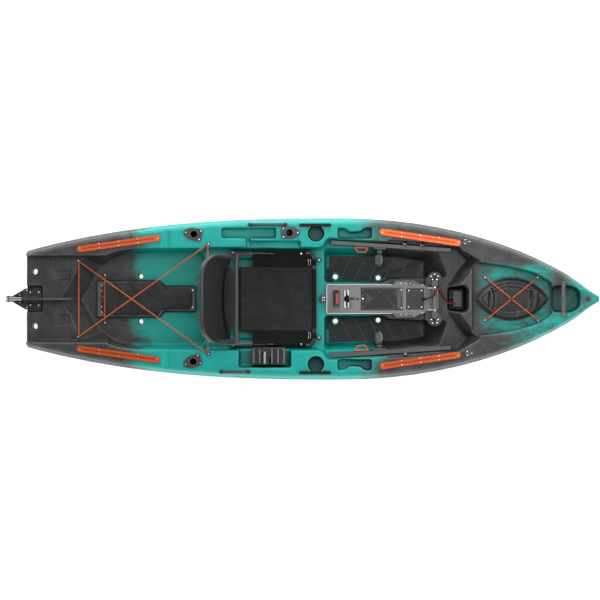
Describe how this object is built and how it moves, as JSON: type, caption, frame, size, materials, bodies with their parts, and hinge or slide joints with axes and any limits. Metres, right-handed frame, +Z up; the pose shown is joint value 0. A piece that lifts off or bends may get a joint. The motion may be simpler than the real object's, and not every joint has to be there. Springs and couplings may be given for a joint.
{
  "type": "fishing kayak with drive cassette",
  "caption": "Sit-on-top fishing kayak with a tilting motor drive cassette, foot-steered stern rudder, folding mesh seat, hatch and deck fittings.",
  "frame": {"origin": "middle of the flat keel, on the plane the boat rests on", "axes": "+X to the bow, +Y to port, +Z up"},
  "size_m": [3.314, 0.9118, 0.7066],
  "materials": {
    "hull_plastic": "rotomoulded polyethylene, teal marbled into charcoal at both ends",
    "orange_rail": "orange anodised aluminium",
    "black_plastic": "black moulded nylon",
    "grey_plastic": "grey moulded plastic",
    "charcoal_plastic": "charcoal moulded plastic",
    "orange_plastic": "orange moulded plastic",
    "orange_cord": "braided shock cord",
    "red_plastic": "red moulded plastic",
    "steel": "stainless steel",
    "black_metal": "black powder-coated aluminium",
    "seat_fabric": "grey and black mesh fabric",
    "webbing": "black nylon webbing",
    "deck_foam": "black closed-cell foam with diagonal grooves",
    "rubber": "black rubber"
  },
  "bodies": {
    "hull_assembly": {"hull": "hull_plastic", "gear_track_rear_port": "orange_rail", "gear_track_front_port": "orange_rail", "gear_track_rear_starboard": "orange_rail", "gear_track_front_starboard": "orange_rail", "rod_holder_rear_port": "black_plastic", "rod_holder_rear_starboard": "black_plastic", "rod_holder_side_port": "black_plastic", "side_handle_port": "black_plastic", "side_handle_starboard": "black_plastic", "bow_handle": "grey_plastic", "gunwale_bumper_port": "rubber", "gunwale_bumper_starboard": "rubber", "drain_plug": "black_plastic", "deck_pad_port": "deck_foam", "deck_pad_starboard": "deck_foam", "battery_cover": "black_plastic", "battery": "charcoal_plastic", "tank_bungee": "orange_cord", "battery_cover_bungee": "orange_cord", "control_box": "black_plastic", "junction_block": "black_plastic", "power_cable_fore": "rubber", "hinge_block_port": "black_plastic", "hinge_block_starboard": "black_plastic", "rudder_bracket": "black_metal", "rudder_pin": "steel", "foot_rail_port": "black_metal", "foot_rail_starboard": "black_metal", "seat_frame": "black_metal", "seat_sling": "seat_fabric", "recline_strap_port": "webbing", "recline_strap_starboard": "webbing"},
    "hatch": {"hatch_cover": "black_plastic", "hatch_bungee": "orange_cord"},
    "drive_cassette": {"console_housing": "charcoal_plastic", "console_lid": "black_plastic", "electronics_cover": "black_plastic", "hinge_axle": "steel", "drive_leg": "black_metal", "motor_pod": "black_metal", "power_cable_aft": "rubber"},
    "propeller_assembly": {"propeller_shaft": "steel", "propeller": "black_plastic", "propeller_nut": "steel"},
    "release_trigger": {"release_trigger": "red_plastic"},
    "console_latch": {"console_latch": "black_plastic"},
    "speed_lever": {"speed_lever": "steel"},
    "rudder_head": {"rudder_head": "black_plastic", "rudder_blade_pin": "steel"},
    "rudder_blade": {"rudder_blade": "black_plastic"},
    "foot_carriage_port": {"foot_carriage_port": "black_plastic"},
    "foot_carriage_starboard": {"foot_carriage_starboard": "black_plastic"},
    "pedal_port": {"pedal_port": "grey_plastic"},
    "pedal_starboard": {"pedal_starboard": "grey_plastic"},
    "adjuster_loop_port": {"adjuster_loop_port": "orange_plastic"},
    "adjuster_loop_starboard": {"adjuster_loop_starboard": "orange_plastic"},
    "seat_back": {"back_frame": "black_metal", "back_panel": "seat_fabric", "lumbar_pad": "seat_fabric"}
  },
  "joints": [
    {"name": "hatch_lift", "type": "slide", "parent": "hull_assembly", "child": "hatch", "axis": [0, 0, 1], "range_m": [0, 0.16]},
    {"name": "console_tilt", "type": "hinge", "parent": "hull_assembly", "child": "drive_cassette", "pos_m": [0.694, 0, 0.25], "axis": [0, 1, 0], "range_deg": [0, 60]},
    {"name": "propeller_spin", "type": "hinge", "parent": "drive_cassette", "child": "propeller_assembly", "pos_m": [0.202, 0, 0.086], "axis": [1, 0, 0], "continuous": true},
    {"name": "release_pull", "type": "slide", "parent": "drive_cassette", "child": "release_trigger", "axis": [-1, 0, 0], "range_m": [0, 0.01], "stiffness_N_per_m": 400},
    {"name": "latch_lift", "type": "hinge", "parent": "hull_assembly", "child": "console_latch", "pos_m": [0.056, 0, 0.225], "axis": [0, -1, 0], "range_deg": [0, 70]},
    {"name": "speed_lever_turn", "type": "hinge", "parent": "hull_assembly", "child": "speed_lever", "pos_m": [-0.26, -0.3285, 0.327], "axis": [0, 1, 0], "range_deg": [-35, 35]},
    {"name": "rudder_steer", "type": "hinge", "parent": "hull_assembly", "child": "rudder_head", "pos_m": [-1.614, 0, 0.21], "axis": [0, 0, 1], "range_deg": [-35, 35]},
    {"name": "rudder_blade_fold", "type": "hinge", "parent": "rudder_head", "child": "rudder_blade", "pos_m": [-1.7, 0, 0.254], "axis": [0, -1, 0], "range_deg": [0, 270]},
    {"name": "foot_slide_port", "type": "slide", "parent": "hull_assembly", "child": "foot_carriage_port", "axis": [0.9979, -0.0652, 0], "range_m": [-0.12, 0.08]},
    {"name": "foot_slide_starboard", "type": "slide", "parent": "hull_assembly", "child": "foot_carriage_starboard", "axis": [0.9979, 0.0652, 0], "range_m": [-0.12, 0.08]},
    {"name": "pedal_tilt_port", "type": "hinge", "parent": "foot_carriage_port", "child": "pedal_port", "pos_m": [0.384, 0.2203, 0.204], "axis": [0, 1, 0], "range_deg": [-20, 20]},
    {"name": "pedal_tilt_starboard", "type": "hinge", "parent": "foot_carriage_starboard", "child": "pedal_starboard", "pos_m": [0.384, -0.2203, 0.204], "axis": [0, 1, 0], "range_deg": [-20, 20]},
    {"name": "adjuster_pull_port", "type": "slide", "parent": "foot_carriage_port", "child": "adjuster_loop_port", "axis": [-0.9979, 0.0652, 0], "range_m": [0, 0.012], "stiffness_N_per_m": 300},
    {"name": "adjuster_pull_starboard", "type": "slide", "parent": "foot_carriage_starboard", "child": "adjuster_loop_starboard", "axis": [-0.9979, -0.0652, 0], "range_m": [0, 0.012], "stiffness_N_per_m": 300},
    {"name": "seat_recline", "type": "hinge", "parent": "hull_assembly", "child": "seat_back", "pos_m": [-0.44, 0, 0.276], "axis": [0, 1, 0], "range_deg": [0, 75]}
  ],
  "couplings": [
    {"joint": "pedal_tilt_port", "follows": "rudder_steer", "ratio": 0.5714},
    {"joint": "pedal_tilt_starboard", "follows": "rudder_steer", "ratio": -0.5714}
  ]
}
